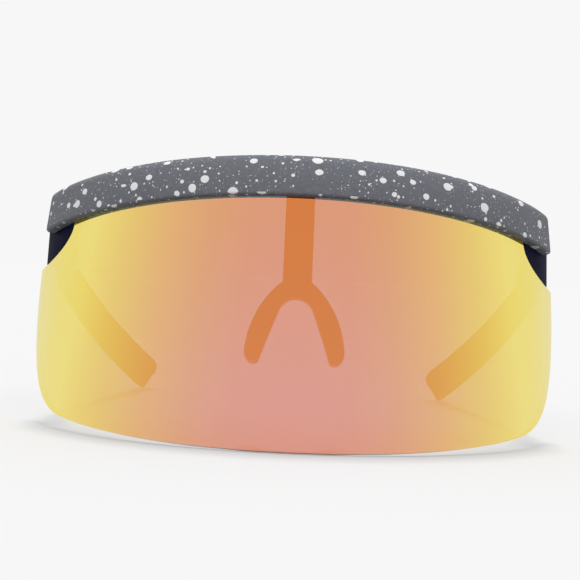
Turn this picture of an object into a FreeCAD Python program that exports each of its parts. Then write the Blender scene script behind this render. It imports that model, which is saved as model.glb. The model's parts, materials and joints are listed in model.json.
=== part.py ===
import FreeCAD, Part
import math
import os
import re
import Sketcher

# Shield sunglasses: a bent brow bar, one wrapped lens, a wishbone nose bridge and two hinged temples.
# Lengths are in millimetres and angles in degrees. The pieces are drawn in the frame of the front:
# X to the right, Y towards the back, Z up, with the lens axis on Z and the underside of the bar at Z = 0.
# The whole pair is then leaned back until the lens edge and both temple tips stand on Z = 0.

sizes = {
    # Brow bar
    "bar_half_length": 96.08,
    "bar_radius": 85.2,
    "bar_height": 11.8,
    "bar_back_wall": 2.2,
    "bar_brow_round": 2.2,
    "bar_end_rake": 15.0,
    "bar_end_round": 2.8,
    "bar_edge_round": 0.8,
    # Lens, as a flat blank that is bent round the lens axis
    "lens_setback": 2.6,
    "lens_thickness": 2.0,
    "lens_drop": 70.9,
    "lens_overhang": 10.367,
    "lens_bottom_radius": 236.0,
    "lens_corner_radius": 40.0,
    "groove_depth": 6.0,
    "groove_clearance": 0.1,
    "back_lip_rise": 2.6,
    "notch_inset": 16.533,
    "notch_depth": 9.2,
    "notch_flat": 4.9,
    "notch_clearance": 0.6,
    # Nose bridge: plate behind the bar, stem and two swept arms
    "plate_half_width": 6.5,
    "plate_margin": 1.8,
    "stem_half_width": 4.0,
    "stem_thickness": 3.0,
    "shoulder_drop": 23.0,
    "arm_spread": 9.8,
    "arm_fall": 18.3,
    "arm_round": 28.0,
    "arm_width": 4.6,
    "arm_tip_slope": 32.6,
    "arm_tip_flatness": 1.2,
    "arch_spread": 0.5,
    "arch_fall": 7.1,
    "arch_flatness": 2.2,
    "sweep_radius": 35.0,
    "seat_clearance": 0.05,
    # Soft nose pads on the backs of the arms
    "pad_thickness": 1.6,
    "pad_inset": 0.8,
    "pad_length": 12.5,
    # Screws through the nose bridge, the bar and the lens
    "bridge_screw_spacing": 6.4,
    "bridge_screw_radius": 0.8,
    "bridge_screw_head_radius": 1.4,
    "bridge_screw_head_height": 0.9,
    "screw_hole_clearance": 0.05,
    "lens_hole_clearance": 0.15,
    "front_lip_left": 1.2,
    # End pieces: a lug in the lens notch, a hinge block behind the lens and a tenon in the bar
    "hinge_setback": 5.1849,
    "lug_setback": 0.3,
    "lug_lap": 0.2,
    "shoulder_rise": 1.7,
    "shoulder_clearance": 0.15,
    "block_margin": 0.8,
    "lens_gap": 0.4,
    "tenon_length": 6.6,
    "tenon_height": 5.5,
    "tenon_wall": 4.0,
    "tenon_clearance": 0.1,
    # Temples
    "temple_length": 132.0,
    "temple_thickness": 3.6,
    "temple_height": 10.6,
    "temple_drop": 7.9,
    "temple_corner": 0.8,
    "temple_corner_flatness": 0.8,
    "temple_block_length": 12.0,
    "temple_lens_gap": 0.85,
    "temple_butt_gap": 0.3,
    "tip_thickness": 2.6,
    "tip_height": 11.4,
    "tip_inset": 17.0,
    "tip_bow": 0.6,
    "tip_drop": 6.4,
    "tip_lean": 25.0,
    "tip_taper_length": 0.8,
    "tip_taper": 0.45,
    # Hinges
    "hinge_rise": 1.2,
    "hinge_height": 6.2,
    "knuckle_radius": 1.5,
    "knuckle_height": 1.9,
    "knuckle_gap": 0.1,
    "knuckle_clearance": 0.1,
    "leaf_thickness": 0.8,
    "leaf_gap": 0.25,
    "front_leaf_length": 5.6,
    "temple_leaf_length": 7.0,
    "hinge_screw_radius": 0.7,
    "hinge_bore_clearance": 0.05,
    "hinge_screw_head_radius": 1.3,
    "hinge_screw_head_height": 0.8,
    "screw_slot_width": 0.4,
    "screw_slot_depth": 0.3,
    # Rivets that hold the hinge leaves
    "rivet_radius": 0.6,
    "rivet_depth": 2.0,
    "rivet_head_radius": 1.0,
    "rivet_head_height": 0.4,
    "rivet_clearance": 0.03,
}

# Values that follow from the sizes
derived = {
    "lens_radius": "bar_radius - lens_setback",
    "lens_inside": "lens_radius - lens_thickness",
    "lens_top": "groove_depth - groove_clearance",
    "bar_inside": "lens_inside - bar_back_wall",
    "bar_end_angle": "bar_half_length / bar_radius * 1 rad",
    "bar_end_line": "bar_radius * cos(bar_end_angle)",
    "bar_end_along": "lens_radius * bar_half_length / bar_radius",
    "lens_half_length": "bar_end_along + lens_overhang",
    "notch_start": "bar_end_along - notch_inset",
    "groove_end_angle": "(notch_start + groove_clearance) / lens_radius * 1 rad",
    "plate_height": "bar_height - plate_margin",
    "bridge_screw_level": "(back_lip_rise + groove_depth) / 2",
    "arm_reach": "stem_half_width + arm_spread",
    "arm_drop": "shoulder_drop + arm_fall",
    "arm_inner_reach": "arm_reach - arm_width * cos(arm_tip_slope * 1 deg)",
    "arm_inner_drop": "arm_drop + arm_width * sin(arm_tip_slope * 1 deg)",
    "arm_tip_round": "sqrt((arm_width / 2)^2 + arm_tip_flatness^2)",
    "arch_half_width": "stem_half_width + arch_spread",
    "arch_drop": "shoulder_drop + arch_fall",
    "arch_round": "sqrt(arch_half_width^2 + arch_flatness^2)",
    "stem_front": "sqrt(bar_inside^2 - plate_half_width^2) - seat_clearance",
    "stem_back": "stem_front - stem_thickness",
    "sweep_axis": "stem_front - sweep_radius",
    "arm_bottom": "arm_inner_drop + arm_tip_round",
    "pad_front": "sweep_radius - stem_thickness - seat_clearance",
    "pad_inset_along": "pad_inset * cos(arm_tip_slope * 1 deg)",
    "pad_inset_up": "pad_inset * sin(arm_tip_slope * 1 deg)",
    "pad_tip_round": "sqrt((arm_width / 2 - pad_inset)^2 + arm_tip_flatness^2)",
    "pad_top": "arm_inner_drop - pad_length",
    "pad_slope": "(arm_inner_reach - arch_half_width) / (arm_inner_drop - arch_drop)",
    "pad_top_inner": "arch_half_width + (pad_top - arch_drop) * pad_slope + pad_inset",
    "hinge_line": "bar_end_line - hinge_setback",
    "butt_line": "hinge_line + temple_butt_gap / 2",
    "temple_front": "hinge_line - temple_butt_gap / 2",
    "block_radius": "lens_inside - lens_gap",
    "block_front": "hinge_line + leaf_reach + front_leaf_length + block_margin",
    "block_room": "sqrt(block_radius^2 - block_front^2)",
    "temple_room": "sqrt(lens_inside^2 - hinge_line^2) - temple_lens_gap - temple_thickness",
    "temple_face": "min(block_room; temple_room)",
    "temple_corner_radius": "sqrt(temple_corner^2 / 2 + temple_corner_flatness^2)",
    "hinge_axis": "temple_face - knuckle_radius - knuckle_clearance",
    "hinge_drop": "temple_drop - hinge_rise",
    "hinge_bottom": "-hinge_drop - hinge_height / 2",
    "block_drop": "hinge_drop + hinge_height / 2 + block_margin",
    "leaf_reach": "knuckle_radius + leaf_gap",
    "middle_knuckle": "hinge_height - 2 * knuckle_height - 2 * knuckle_gap",
    "lug_radius": "lens_radius - lug_setback",
    "lug_inside": "block_radius - lug_lap",
    "lug_end": "lens_radius * acos(butt_line / lug_radius) / 1 rad",
    "tenon_outside": "lug_radius - tenon_clearance",
    "tenon_inside": "lug_inside + tenon_clearance",
    "tenon_end": "bar_end_angle - tenon_wall / lens_radius * 1 rad",
    "tenon_start": "tenon_end - tenon_length / lens_radius * 1 rad",
    "mortise_margin": "tenon_clearance / lens_radius * 1 rad",
    "tip_line": "temple_length - hinge_line - tip_taper_length",
}

sides = {"left": -1, "right": 1}
sizeName = re.compile(r"[a-z]+(?:_[a-z]+)+")
up = FreeCAD.Vector(0, 0, 1)
doc = FreeCAD.newDocument("shield_sunglasses")
dims = doc.addObject("Spreadsheet::Sheet", "dims")
pieces = []


def fill_sheet():
    for row, (name, value) in enumerate(sizes.items(), start=1):
        dims.set(f"A{row}", name)
        dims.set(f"B{row}", str(value))
        dims.setAlias(f"B{row}", name)
    doc.recompute()


def bound(text):
    # The expression with each size name pointing at its cell and each derived name written out
    def cell(match):
        name = match.group(0)
        if name in derived:
            return f"({bound(derived[name])})"
        return f"dims.{name}"

    return sizeName.sub(cell, str(text))


def size(text):
    value = dims.evalExpression(bound(text))
    return float(getattr(value, "Value", value))


def bind(item, **values):
    for name, text in values.items():
        item.setExpression(name, bound(text))


def place(item, x, y, z, direction=up):
    item.Placement = FreeCAD.Placement(FreeCAD.Vector(), FreeCAD.Rotation(up, direction))
    for axis, text in zip("xyz", (x, y, z)):
        item.setExpression(f"Placement.Base.{axis}", bound(text))


def keep(item, label):
    item.Label = label
    pieces.append(item)
    return item


def polar(radius, angle):
    # A point at an angle from the front of the lens axis
    return f"({radius}) * sin({angle})", f"-({radius}) * cos({angle})"


# Sketches

def base_plane(body, plane):
    return [item for item in body.Origin.OriginFeatures if item.Role == plane][0]


def new_sketch(body, name, plane, level="0"):
    sketch = body.newObject("Sketcher::SketchObject", name)
    sketch.AttachmentSupport = [(base_plane(body, plane), "")]
    sketch.MapMode = "FlatFace"
    sketch.setExpression("AttachmentOffset.Base.z", bound(level))
    return sketch


def arc_between(start, end, radius, turn):
    # The shorter arc from start to end: turn is 1 when it runs counter-clockwise and -1 when clockwise
    chord = end - start
    side = FreeCAD.Vector(-chord.y, chord.x, 0).normalize()
    lift = math.sqrt(max(radius**2 - (chord.Length / 2) ** 2, 0))
    centre = start + chord * 0.5 + side * lift * turn
    first, last = (start, end) if turn > 0 else (end, start)
    angles = [math.atan2(point.y - centre.y, point.x - centre.x) for point in (first, last)]
    return Part.ArcOfCircle(Part.Circle(centre, up, radius), angles[0], angles[1])


def draw_outline(sketch, corners, side=1):
    # A closed profile. A corner is (x, y), or (x, y, radius, turn) where the edge after it is an arc.
    points = [FreeCAD.Vector(side * size(corner[0]), size(corner[1]), 0) for corner in corners]
    ends = []
    for index, corner in enumerate(corners):
        start = points[index]
        end = points[(index + 1) % len(points)]
        turn = 1
        edge = Part.LineSegment(start, end)
        if len(corner) > 2:
            turn = side * corner[3]
            edge = arc_between(start, end, size(corner[2]), turn)
        sketch.addGeometry(edge, False)
        ends.append((1, 2) if turn > 0 else (2, 1))
    for index, corner in enumerate(corners):
        after = (index + 1) % len(corners)
        joined = Sketcher.Constraint("Coincident", index, ends[index][1], after, ends[after][0])
        sketch.addConstraint(joined)
    for index, corner in enumerate(corners):
        tail = ends[index][0]
        fix_value(sketch, f"x{index}", "DistanceX", (index, tail), points[index].x,
                  f"{side} * ({corner[0]})")
        fix_value(sketch, f"y{index}", "DistanceY", (index, tail), points[index].y, corner[1])
        if len(corner) > 2:
            fix_value(sketch, f"r{index}", "Radius", (index,), size(corner[2]), corner[2])
    return sketch


def draw_circle(sketch, x, y, radius):
    index = sketch.GeometryCount
    centre = FreeCAD.Vector(size(x), size(y), 0)
    sketch.addGeometry(Part.Circle(centre, up, size(radius)), False)
    fix_value(sketch, f"cx{index}", "DistanceX", (index, 3), centre.x, x)
    fix_value(sketch, f"cy{index}", "DistanceY", (index, 3), centre.y, y)
    fix_value(sketch, f"cr{index}", "Radius", (index,), size(radius), radius)
    return sketch


def fix_value(sketch, name, kind, target, value, text):
    number = sketch.addConstraint(Sketcher.Constraint(kind, *target, value))
    sketch.renameConstraint(number, name)
    sketch.setExpression(f"Constraints.{name}", bound(text))


def rounded_box(half_width, half_height, corner, radius):
    w, h, r = f"({half_width})", f"({half_height})", f"({corner})"
    return [
        (f"{r} - {w}", f"-{h}"),
        (f"{w} - {r}", f"-{h}", radius, 1),
        (w, f"{r} - {h}"),
        (w, f"{h} - {r}", radius, 1),
        (f"{w} - {r}", h),
        (f"{r} - {w}", h, radius, 1),
        (f"-{w}", f"{h} - {r}"),
        (f"-{w}", f"{r} - {h}", radius, 1),
    ]


# Features

def new_body(name):
    return doc.addObject("PartDesign::Body", name)


def pad(body, sketch, length):
    feature = body.newObject("PartDesign::Pad", f"{sketch.Name}_pad")
    feature.Profile = sketch
    bind(feature, Length=length)
    doc.recompute()
    return feature


def pocket(body, sketch, length, forward=False):
    # A pocket runs against its sketch's normal, or along it when forward
    before = body.Shape.Volume
    feature = body.newObject("PartDesign::Pocket", f"{sketch.Name}_pocket")
    feature.Profile = sketch
    feature.Reversed = forward
    bind(feature, Length=length)
    doc.recompute()
    if body.Shape.Volume >= before:
        raise RuntimeError(f"{feature.Name} removes nothing")
    return feature


def loft(body, name, profile, sections):
    feature = body.newObject("PartDesign::AdditiveLoft", name)
    feature.Profile = profile
    feature.Sections = sections
    doc.recompute()


def fillet(body, base, radius, wanted):
    names = [f"Edge{n}" for n, edge in enumerate(base.Shape.Edges, start=1) if wanted(edge)]
    feature = body.newObject("PartDesign::Fillet", f"{base.Name}_fillet")
    feature.Base = (base, names)
    bind(feature, Radius=radius)
    doc.recompute()
    return feature


def draft(body, base, angle, wanted):
    # Leans faces inwards from where they meet the level Z = 0
    feature = body.newObject("PartDesign::Draft", f"{base.Name}_draft")
    feature.Base = (base, [f"Face{n}" for n, face in enumerate(base.Shape.Faces, start=1) if wanted(face)])
    feature.NeutralPlane = (base_plane(body, "XY_Plane"), [""])
    bind(feature, Angle=angle)
    doc.recompute()
    return feature


def lies_at(edge, axis, value):
    # Whether the whole edge lies at one coordinate
    box = edge.BoundBox
    low, high = (getattr(box, f"{axis}{end}") for end in ("Min", "Max"))
    return abs(low - value) < 0.01 and abs(high - value) < 0.01


def box(name, length, width, height, x, y, z):
    item = doc.addObject("Part::Box", name)
    bind(item, Length=length, Width=width, Height=height)
    place(item, x, y, z)
    return item


def cylinder(name, radius, height, x, y, z, direction=up):
    item = doc.addObject("Part::Cylinder", name)
    bind(item, Radius=radius, Height=height)
    place(item, x, y, z, direction)
    return item


def fuse(name, parts):
    item = doc.addObject("Part::MultiFuse", name)
    item.Shapes = parts
    doc.recompute()
    return item


def cut(name, base, tool):
    item = doc.addObject("Part::Cut", name)
    item.Base = base
    item.Tool = tool
    doc.recompute()
    return item


def common(name, base, tool):
    item = doc.addObject("Part::Common", name)
    item.Base = base
    item.Tool = tool
    doc.recompute()
    return item


def group(name, parts):
    item = doc.addObject("Part::Compound", name)
    item.Links = parts
    doc.recompute()
    return item


# Brow bar

def ring_sector(outer, inner, angle):
    # Part of a ring in front of the lens axis, with ends that point at the axis
    return [
        (*polar(outer, f"-({angle})"), outer, 1),
        polar(outer, angle),
        (*polar(inner, angle), inner, -1),
        polar(inner, f"-({angle})"),
    ]


def tenon_outline(margin, angle_margin):
    start = f"tenon_start - {angle_margin}"
    end = f"tenon_end + {angle_margin}"
    outside = f"tenon_outside + {margin}"
    inside = f"tenon_inside - {margin}"
    return [polar(inside, start), polar(outside, start), polar(outside, end), polar(inside, end)]


def make_bar():
    body = new_body("brow_bar")
    plan = new_sketch(body, "bar_plan", "XY_Plane")
    draw_outline(plan, ring_sector("bar_radius", "bar_inside", "bar_end_angle"))
    feature = pad(body, plan, "bar_height")
    top = size("bar_height")
    front = size("bar_radius")
    feature = draft(body, feature, "bar_end_rake", end_face)
    feature = fillet(body, feature, "bar_end_round", lambda edge: end_edge(edge, top))
    feature = fillet(body, feature, "bar_brow_round", lambda edge: brow_edge(edge, top, front))
    fillet(body, feature, "bar_edge_round", lambda edge: plain_edge(edge, top, size("bar_inside")))
    groove = new_sketch(body, "bar_groove", "XY_Plane")
    draw_outline(groove, ring_sector("lens_radius + groove_clearance", "lens_inside - groove_clearance",
                                     "groove_end_angle"))
    pocket(body, groove, "groove_depth", forward=True)
    back_lip = new_sketch(body, "bar_back_lip", "XY_Plane")
    draw_outline(back_lip, ring_sector("lens_inside", "bar_inside - bar_back_wall", "groove_end_angle"))
    pocket(body, back_lip, "back_lip_rise", forward=True)
    for name, side in sides.items():
        mortise = new_sketch(body, f"{name}_mortise", "XY_Plane")
        draw_outline(mortise, tenon_outline("tenon_clearance", "mortise_margin"), side)
        pocket(body, mortise, "tenon_height + tenon_clearance", forward=True)
    holes = new_sketch(body, "bar_screw_holes", "XZ_Plane", "stem_back")
    for sign in ("-", ""):
        draw_circle(holes, f"{sign}bridge_screw_spacing / 2", "bridge_screw_level",
                    "bridge_screw_radius + screw_hole_clearance")
    pocket(body, holes, "bar_radius - front_lip_left - stem_back", forward=True)
    keep(body, "brow_bar")


def end_face(face):
    # Either end of the bar, the only upright flat faces
    return face.Surface.TypeId == "Part::GeomPlane" and face.BoundBox.ZLength > size("bar_height") / 2


def end_edge(edge, top):
    # The short edge across the top of either end
    return lies_at(edge, "Z", top) and edge.Curve.TypeId == "Part::GeomLine"


def brow_edge(edge, top, front):
    # The long edge between the front and the top
    return lies_at(edge, "Z", top) and edge.BoundBox.YMin < -front + 0.01


def plain_edge(edge, top, back):
    # The long bottom edges and the long edge at the back of the top
    box = edge.BoundBox
    if lies_at(edge, "Z", 0):
        return box.XLength > back
    return lies_at(edge, "Z", top) and abs(box.YMin + back) < 0.01


# Lens

def arc_points(centre, radius, start, end, count):
    points = []
    for step in range(count):
        angle = math.radians(start + (end - start) * step / (count - 1))
        points.append((centre[0] + radius * math.cos(angle), centre[1] + radius * math.sin(angle)))
    return points


def lens_half_outline():
    # The right half of the flat blank, from the bottom centre round to the top centre,
    # as runs of points: two points make a straight edge, more make a smooth one
    bottom = -size("lens_drop")
    radius = size("lens_bottom_radius")
    corner = size("lens_corner_radius")
    reach = size("lens_half_length") - corner
    turn = math.degrees(math.asin(reach / (radius - corner)))
    corner_level = bottom + radius - math.sqrt((radius - corner) ** 2 - reach**2)
    level = -size("notch_depth")
    side_end = math.degrees(math.asin((level - corner_level) / corner))
    edge = arc_points((0, bottom + radius), radius, -90, turn - 90, 11)
    side = arc_points((reach, corner_level), corner, turn - 90, side_end, 17)
    notch = notch_points(side[-1][0] - size("notch_flat"), 0)
    start = size("notch_start")
    top = size("lens_top")
    return [edge, side, [side[-1], notch[0]], notch, [notch[-1], (start, top)], [(start, top), (0, top)],
            [(0, top), (0, bottom)]]


def notch_points(flat_end, margin):
    # The rounded inner corner of the notch, from its floor up to its start, or a line inside it by a margin
    run = flat_end - size("notch_start") - margin
    depth = size("notch_depth") - margin
    points = []
    for step in range(13):
        angle = math.radians(90 * step / 12)
        points.append((flat_end - run * math.sin(angle), -depth * math.cos(angle)))
    return points


def lug_outline(side):
    # The lug fills the notch, short of the lens by the clearance. Its shoulder rises behind the bar's end.
    lens_side = lens_half_outline()[1][-1][0]
    corner = notch_points(lens_side - size("notch_flat"), size("notch_clearance"))
    floor = corner[0][1]
    end = max(lens_side, size("lug_end"))
    step = size("bar_end_along + shoulder_clearance")
    rise = size("shoulder_rise")
    turns = [corner[-1], (step, 0), (step, rise), (end, rise), (end, floor), corner[0]]
    runs = [corner] + [list(line) for line in zip(turns, turns[1:])]
    return [[(side * along, level) for along, level in run] for run in runs]


def bent_edge(points, surface):
    # An edge of the blank, bent round the lens axis on to one face of the lens
    bend = size("lens_radius")
    flat = [FreeCAD.Base.Vector2d(1.5 * math.pi + along / bend, level) for along, level in points]
    if len(flat) == 2:
        return Part.Geom2d.Line2dSegment(flat[0], flat[1]).toShape(surface)
    curve = Part.Geom2d.BSplineCurve2d()
    curve.interpolate(flat)
    return curve.toShape(surface)


def bent_solid(outline, outside, inside):
    # A solid between two cylinders round the lens axis, with the outline of a flat blank
    faces = []
    rims = []
    for radius in (size(outside), size(inside)):
        surface = Part.Cylinder()
        surface.Radius = radius
        edges = [bent_edge(points, surface) for points in outline]
        rims.append(edges)
        faces.append(Part.Face(surface, Part.Wire(edges)))
    faces += [Part.makeRuledSurface(outer, inner) for outer, inner in zip(*rims)]
    shell = Part.Shell(faces)
    shell.sewShape()
    solid = Part.Solid(shell)
    if solid.Volume < 0:
        solid.reverse()
    return solid


def mirrored(shape):
    return shape.mirror(FreeCAD.Vector(), FreeCAD.Vector(1, 0, 0))


def make_lens():
    right = bent_solid(lens_half_outline(), "lens_radius", "lens_inside")
    whole = right.fuse(mirrored(right))
    backwards = FreeCAD.Vector(0, 1, 0)
    for side in sides.values():
        x = side * size("bridge_screw_spacing / 2")
        start = FreeCAD.Vector(x, -size("bar_radius"), size("bridge_screw_level"))
        radius = size("bridge_screw_radius + lens_hole_clearance")
        whole = whole.cut(Part.makeCylinder(radius, size("bar_radius - bar_inside"), start, backwards))
    lens = doc.addObject("Part::Feature", "shield_lens")
    lens.Shape = whole.Solids[0]
    lens.Placement = FreeCAD.Placement()
    keep(lens, "shield_lens")


# Nose bridge, its pads and its screws

def bridge_front_outline():
    right = [
        ("stem_half_width", "plate_height"),
        ("stem_half_width", "-shoulder_drop", "arm_round", -1),
        ("arm_reach", "-arm_drop", "arm_tip_round", -1),
        ("arm_inner_reach", "-arm_inner_drop"),
        ("arch_half_width", "-arch_drop", "arch_round", 1),
    ]
    left = [
        ("-arch_half_width", "-arch_drop"),
        ("-arm_inner_reach", "-arm_inner_drop", "arm_tip_round", -1),
        ("-arm_reach", "-arm_drop", "arm_round", -1),
        ("-stem_half_width", "-shoulder_drop"),
        ("-stem_half_width", "plate_height"),
    ]
    return right + left


def swept_point(radius):
    # Where a circle about the sweep axis reaches the level of the arm ends
    return f"-sweep_axis - sqrt(({radius})^2 - (arm_bottom - shoulder_drop)^2)", "-arm_bottom"


def bridge_side_outline():
    return [
        ("-stem_front", "plate_height"),
        ("-stem_front", "-shoulder_drop", "sweep_radius", 1),
        swept_point("sweep_radius"),
        (*swept_point("sweep_radius - stem_thickness"), "sweep_radius - stem_thickness", -1),
        ("-stem_back", "-shoulder_drop"),
        ("-stem_back", "plate_height"),
    ]


def prism(name, plane, outline, level, length, side=1):
    body = new_body(name)
    pad(body, draw_outline(new_sketch(body, f"{name}_outline", plane, level), outline, side), length)
    return body


def make_bridge():
    front = prism("bridge_front", "XZ_Plane", bridge_front_outline(), "0", "bar_radius")
    side = prism("bridge_side", "YZ_Plane", bridge_side_outline(), "-arm_reach - arm_round",
                 "2 * (arm_reach + arm_round)")
    arms = common("bridge_arms", front, side)
    plate = box("bridge_plate", "2 * plate_half_width", "stem_thickness", "plate_height - back_lip_rise",
                "-plate_half_width", "-stem_front", "back_lip_rise")
    whole = fuse("bridge_whole", [arms, plate])
    holes = []
    for name, sign in sides.items():
        x = f"{sign} * bridge_screw_spacing / 2"
        backwards = FreeCAD.Vector(0, 1, 0)
        holes.append(cylinder(f"{name}_bridge_hole", "bridge_screw_radius + screw_hole_clearance",
                              "stem_thickness", x, "-stem_front", "bridge_screw_level", backwards))
        holes.append(cylinder(f"{name}_bridge_sink", "bridge_screw_head_radius + screw_hole_clearance",
                              "bridge_screw_head_height", x, "-stem_back - bridge_screw_head_height",
                              "bridge_screw_level", backwards))
    keep(cut("nose_bridge", whole, fuse("bridge_holes", holes)), "nose_bridge")


def pad_outline():
    # The lower part of one arm, drawn in from its edges
    return [
        ("pad_top_inner", "-pad_top"),
        ("arm_inner_reach + pad_inset_along", "-arm_inner_drop + pad_inset_up", "pad_tip_round", 1),
        ("arm_reach - pad_inset_along", "-arm_drop - pad_inset_up"),
        ("pad_top_inner + arm_width - pad_inset / 2", "-pad_top"),
    ]


def pad_side_outline():
    outer = "pad_front"
    inner = "pad_front - pad_thickness"
    return [
        (f"-sweep_axis - ({outer})", "-shoulder_drop", outer, 1),
        swept_point(outer),
        (*swept_point(inner), inner, -1),
        (f"-sweep_axis - ({inner})", "-shoulder_drop"),
    ]


def make_pads():
    for name, side in sides.items():
        front = prism(f"{name}_pad_front", "XZ_Plane", pad_outline(), "0", "bar_radius", side)
        depth = prism(f"{name}_pad_side", "YZ_Plane", pad_side_outline(), "-arm_reach", "2 * arm_reach")
        keep(common(f"{name}_nose_pad", front, depth), f"{name}_nose_pad")


def make_bridge_screws():
    screws = []
    forwards = FreeCAD.Vector(0, -1, 0)
    for name, sign in sides.items():
        x = f"{sign} * bridge_screw_spacing / 2"
        head = cylinder(f"{name}_bridge_head", "bridge_screw_head_radius",
                        "bridge_screw_head_height - seat_clearance",
                        x, "-stem_back", "bridge_screw_level", forwards)
        shank = cylinder(f"{name}_bridge_shank", "bridge_screw_radius",
                         "bar_radius - front_lip_left - seat_clearance - stem_back",
                         x, "-stem_back", "bridge_screw_level", forwards)
        slot = box(f"{name}_bridge_slot", "2 * bridge_screw_head_radius", "screw_slot_depth",
                   "screw_slot_width", f"{x} - bridge_screw_head_radius", "-stem_back - screw_slot_depth",
                   "bridge_screw_level - screw_slot_width / 2")
        screws.append(cut(f"{name}_bridge_screw", fuse(f"{name}_bridge_blank", [head, shank]), slot))
    keep(group("nose_bridge_screws", screws), "nose_bridge_screws")


# End pieces

def make_end_piece(name, side):
    lug = doc.addObject("Part::Feature", f"{name}_lug")
    reach = size("lug_radius")
    corner = FreeCAD.Vector(-reach, -size("butt_line"), -size("notch_depth"))
    beyond_butt = Part.makeBox(2 * reach, reach, size("notch_depth + shoulder_rise"), corner)
    lug.Shape = bent_solid(lug_outline(side), "lug_radius", "lug_inside").cut(beyond_butt).Solids[0]
    lug.Placement = FreeCAD.Placement()
    block = prism(f"{name}_block", "XY_Plane", block_outline(), "-block_drop", "block_drop", side)
    tenon = prism(f"{name}_tenon", "XY_Plane", tenon_outline("0", "0 deg"), "0", "tenon_height", side)
    whole = fuse(f"{name}_end_whole", [lug, block, tenon])
    outwards = FreeCAD.Vector(side, 0, 0)
    holes = []
    for number, y in enumerate(front_rivet_lines()):
        holes.append(cylinder(f"{name}_block_hole_{number}", "rivet_radius + rivet_clearance",
                              "rivet_depth + rivet_clearance",
                              f"{side} * temple_face", y, "-hinge_drop", outwards))
    keep(cut(f"{name}_end_piece", whole, fuse(f"{name}_block_holes", holes)), f"{name}_end_piece")


def block_outline():
    return [
        ("temple_face", "-sqrt(block_radius^2 - temple_face^2)", "block_radius", 1),
        ("sqrt(block_radius^2 - butt_line^2)", "-butt_line"),
        ("temple_face", "-butt_line"),
    ]


# Hinges

def front_rivet_lines():
    back = "-hinge_line - leaf_reach"
    return f"{back} - front_leaf_length / 4", f"{back} - 3 * front_leaf_length / 4"


def temple_rivet_lines():
    front = "-hinge_line + leaf_reach"
    return f"{front} + temple_leaf_length / 4", f"{front} + 3 * temple_leaf_length / 4"


def make_leaf(label, side, start, length, web_start, knuckles, rivet_lines):
    # A plate on the inner face, with knuckles round the hinge axis that short webs carry
    outwards = FreeCAD.Vector(side, 0, 0)
    inner = "temple_face - leaf_thickness" if side > 0 else "-temple_face"
    axis = f"{side} * hinge_axis"
    solids = [box(f"{label}_plate", "leaf_thickness", length, "hinge_height", inner, start, "hinge_bottom")]
    web_inner = inner if side > 0 else f"{inner} + knuckle_clearance"
    for number, (bottom, height) in enumerate(knuckles):
        solids.append(cylinder(f"{label}_knuckle_{number}", "knuckle_radius", height,
                               axis, "-hinge_line", bottom))
        solids.append(box(f"{label}_web_{number}", "leaf_thickness - knuckle_clearance", "leaf_reach",
                          height, web_inner, web_start, bottom))
    bores = [cylinder(f"{label}_bore", "hinge_screw_radius + hinge_bore_clearance", "hinge_height",
                      axis, "-hinge_line", "hinge_bottom")]
    for number, y in enumerate(rivet_lines):
        bores.append(cylinder(f"{label}_hole_{number}", "rivet_radius + rivet_clearance", "leaf_thickness",
                              f"{side} * (temple_face - leaf_thickness)", y, "-hinge_drop", outwards))
    leaf = cut(label, fuse(f"{label}_blank", solids), fuse(f"{label}_holes", bores))
    keep(leaf, label)


def make_rivets(label, side, rivet_lines):
    outwards = FreeCAD.Vector(side, 0, 0)
    rivets = []
    for number, y in enumerate(rivet_lines):
        face = "temple_face - leaf_thickness - rivet_clearance"
        head = cylinder(f"{label}_head_{number}", "rivet_head_radius", "rivet_head_height",
                        f"{side} * ({face} - rivet_head_height)", y, "-hinge_drop", outwards)
        shank = cylinder(f"{label}_shank_{number}", "rivet_radius",
                         "leaf_thickness + rivet_clearance + rivet_depth",
                         f"{side} * ({face})", y, "-hinge_drop", outwards)
        rivets.append(fuse(f"{label}_rivet_{number}", [head, shank]))
    keep(group(label, rivets), label)


def make_hinge_screw(name, side):
    axis = f"{side} * hinge_axis"
    top = "hinge_bottom + hinge_height"
    head = cylinder(f"{name}_hinge_head", "hinge_screw_head_radius", "hinge_screw_head_height",
                    axis, "-hinge_line", f"{top} + knuckle_gap / 2")
    shank = cylinder(f"{name}_hinge_shank", "hinge_screw_radius", "hinge_height + knuckle_gap / 2",
                     axis, "-hinge_line", "hinge_bottom")
    slot = box(f"{name}_hinge_slot", "2 * hinge_screw_head_radius", "screw_slot_width", "screw_slot_depth",
               f"{axis} - hinge_screw_head_radius", "-hinge_line - screw_slot_width / 2",
               f"{top} + knuckle_gap / 2 + hinge_screw_head_height - screw_slot_depth")
    blank = fuse(f"{name}_hinge_blank", [head, shank])
    keep(cut(f"{name}_hinge_screw", blank, slot), f"{name}_hinge_screw")


def make_hinge(name, side):
    outer_knuckles = [
        ("hinge_bottom", "knuckle_height"),
        ("hinge_bottom + hinge_height - knuckle_height", "knuckle_height"),
    ]
    middle_knuckles = [("hinge_bottom + knuckle_height + knuckle_gap", "middle_knuckle")]
    make_leaf(f"{name}_front_hinge_leaf", side, "-hinge_line - leaf_reach - front_leaf_length",
              "front_leaf_length", "-hinge_line - leaf_reach", outer_knuckles, front_rivet_lines())
    make_leaf(f"{name}_temple_hinge_leaf", side, "-hinge_line + leaf_reach", "temple_leaf_length",
              "-hinge_line", middle_knuckles, temple_rivet_lines())
    make_rivets(f"{name}_front_leaf_rivets", side, front_rivet_lines())
    make_rivets(f"{name}_temple_leaf_rivets", side, temple_rivet_lines())
    make_hinge_screw(name, side)


# Temples

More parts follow.
